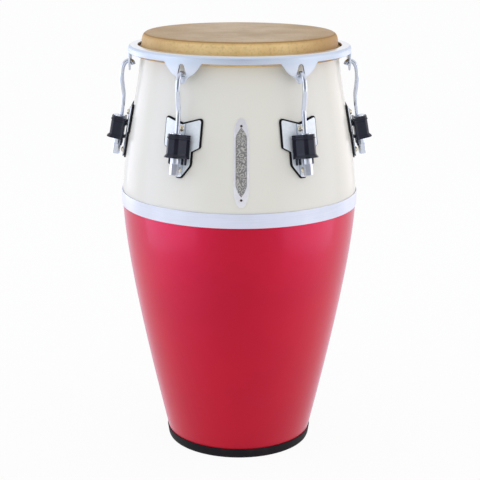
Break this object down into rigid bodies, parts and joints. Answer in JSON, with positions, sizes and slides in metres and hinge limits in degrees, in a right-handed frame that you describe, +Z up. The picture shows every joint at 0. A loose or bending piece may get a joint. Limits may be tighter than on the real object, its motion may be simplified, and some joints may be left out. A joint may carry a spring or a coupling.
{
  "type": "conga drum",
  "caption": "Widest of the conga drums: a barrel shell with a skin head, a curved rim drawn down by hooks and nuts at side lugs, a steel belly band and a rubber foot ring.",
  "frame": {"origin": "centre of the foot ring's underside, on the floor", "axes": "+Z up along the drum's axis, -Y the front, where the badge is, +X to the right"},
  "size_m": [0.4406, 0.393, 0.699],
  "materials": {
    "lacquer": "gloss lacquer on wood, ivory white above the belly band and red below it",
    "hide": "natural rawhide",
    "plain_steel": "plain",
    "polished_steel": "finely brushed and polished",
    "rubber": "black, matt",
    "pewter": "engraved grey field in a bright border",
    "chrome": "chrome plated",
    "black_moulding": "satin black"
  },
  "bodies": {
    "drum": {"shell": "lacquer", "belly_band": "polished_steel", "foot_ring": "rubber", "badge_plate": "pewter", "badge_pin_upper": "plain_steel", "badge_pin_lower": "plain_steel", "lug_bush_1": "chrome", "lug_casing_1": "black_moulding", "lug_plate_1": "chrome", "plate_gasket_1": "rubber", "upper_bolt_1": "chrome", "lower_bolt_1": "chrome", "lug_bush_2": "chrome", "lug_casing_2": "black_moulding", "lug_plate_2": "chrome", "plate_gasket_2": "rubber", "upper_bolt_2": "chrome", "lower_bolt_2": "chrome", "lug_bush_3": "chrome", "lug_casing_3": "black_moulding", "lug_plate_3": "chrome", "plate_gasket_3": "rubber", "upper_bolt_3": "chrome", "lower_bolt_3": "chrome", "lug_bush_4": "chrome", "lug_casing_4": "black_moulding", "lug_plate_4": "chrome", "plate_gasket_4": "rubber", "upper_bolt_4": "chrome", "lower_bolt_4": "chrome", "lug_bush_5": "chrome", "lug_casing_5": "black_moulding", "lug_plate_5": "chrome", "plate_gasket_5": "rubber", "upper_bolt_5": "chrome", "lower_bolt_5": "chrome", "lug_bush_6": "chrome", "lug_casing_6": "black_moulding", "lug_plate_6": "chrome", "plate_gasket_6": "rubber", "upper_bolt_6": "chrome", "lower_bolt_6": "chrome"},
    "head": {"rim": "polished_steel", "flesh_hoop": "plain_steel", "head_skin": "hide"},
    "hook_1": {"tuning_hook_1": "chrome"},
    "nut_1": {"tuning_nut_1": "chrome"},
    "hook_2": {"tuning_hook_2": "chrome"},
    "nut_2": {"tuning_nut_2": "chrome"},
    "hook_3": {"tuning_hook_3": "chrome"},
    "nut_3": {"tuning_nut_3": "chrome"},
    "hook_4": {"tuning_hook_4": "chrome"},
    "nut_4": {"tuning_nut_4": "chrome"},
    "hook_5": {"tuning_hook_5": "chrome"},
    "nut_5": {"tuning_nut_5": "chrome"},
    "hook_6": {"tuning_hook_6": "chrome"},
    "nut_6": {"tuning_nut_6": "chrome"}
  },
  "joints": [
    {"name": "rim_slide", "type": "slide", "parent": "drum", "child": "head", "axis": [0, 0, 1], "range_m": [0, 0.008]},
    {"name": "hook_1_slide", "type": "slide", "parent": "drum", "child": "hook_1", "axis": [-0.0884, 0.1531, 0.9843], "range_m": [0, 0.0082]},
    {"name": "nut_1_spin", "type": "hinge", "parent": "drum", "child": "nut_1", "pos_m": [0.10298, -0.17837, 0.50575], "axis": [-0.0884, 0.1531, 0.9843], "range_deg": [-2370, 0]},
    {"name": "hook_2_slide", "type": "slide", "parent": "drum", "child": "hook_2", "axis": [-0.1768, 0, 0.9843], "range_m": [0, 0.0082]},
    {"name": "nut_2_spin", "type": "hinge", "parent": "drum", "child": "nut_2", "pos_m": [0.20596, 0, 0.50575], "axis": [-0.1768, 0, 0.9843], "range_deg": [-2370, 0]},
    {"name": "hook_3_slide", "type": "slide", "parent": "drum", "child": "hook_3", "axis": [-0.0884, -0.1531, 0.9843], "range_m": [0, 0.0082]},
    {"name": "nut_3_spin", "type": "hinge", "parent": "drum", "child": "nut_3", "pos_m": [0.10298, 0.17837, 0.50575], "axis": [-0.0884, -0.1531, 0.9843], "range_deg": [-2370, 0]},
    {"name": "hook_4_slide", "type": "slide", "parent": "drum", "child": "hook_4", "axis": [0.0884, -0.1531, 0.9843], "range_m": [0, 0.0082]},
    {"name": "nut_4_spin", "type": "hinge", "parent": "drum", "child": "nut_4", "pos_m": [-0.10298, 0.17837, 0.50575], "axis": [0.0884, -0.1531, 0.9843], "range_deg": [-2370, 0]},
    {"name": "hook_5_slide", "type": "slide", "parent": "drum", "child": "hook_5", "axis": [0.1768, 0, 0.9843], "range_m": [0, 0.0082]},
    {"name": "nut_5_spin", "type": "hinge", "parent": "drum", "child": "nut_5", "pos_m": [-0.20596, 0, 0.50575], "axis": [0.1768, 0, 0.9843], "range_deg": [-2370, 0]},
    {"name": "hook_6_slide", "type": "slide", "parent": "drum", "child": "hook_6", "axis": [0.0884, 0.1531, 0.9843], "range_m": [0, 0.0082]},
    {"name": "nut_6_spin", "type": "hinge", "parent": "drum", "child": "nut_6", "pos_m": [-0.10298, -0.17837, 0.50575], "axis": [0.0884, 0.1531, 0.9843], "range_deg": [-2370, 0]}
  ],
  "couplings": [
    {"joint": "hook_1_slide", "follows": "rim_slide", "ratio": 1.016},
    {"joint": "nut_1_spin", "follows": "rim_slide", "rad_per_m": -5107},
    {"joint": "hook_2_slide", "follows": "rim_slide", "ratio": 1.016},
    {"joint": "nut_2_spin", "follows": "rim_slide", "rad_per_m": -5107},
    {"joint": "hook_3_slide", "follows": "rim_slide", "ratio": 1.016},
    {"joint": "nut_3_spin", "follows": "rim_slide", "rad_per_m": -5107},
    {"joint": "hook_4_slide", "follows": "rim_slide", "ratio": 1.016},
    {"joint": "nut_4_spin", "follows": "rim_slide", "rad_per_m": -5107},
    {"joint": "hook_5_slide", "follows": "rim_slide", "ratio": 1.016},
    {"joint": "nut_5_spin", "follows": "rim_slide", "rad_per_m": -5107},
    {"joint": "hook_6_slide", "follows": "rim_slide", "ratio": 1.016},
    {"joint": "nut_6_spin", "follows": "rim_slide", "rad_per_m": -5107}
  ]
}
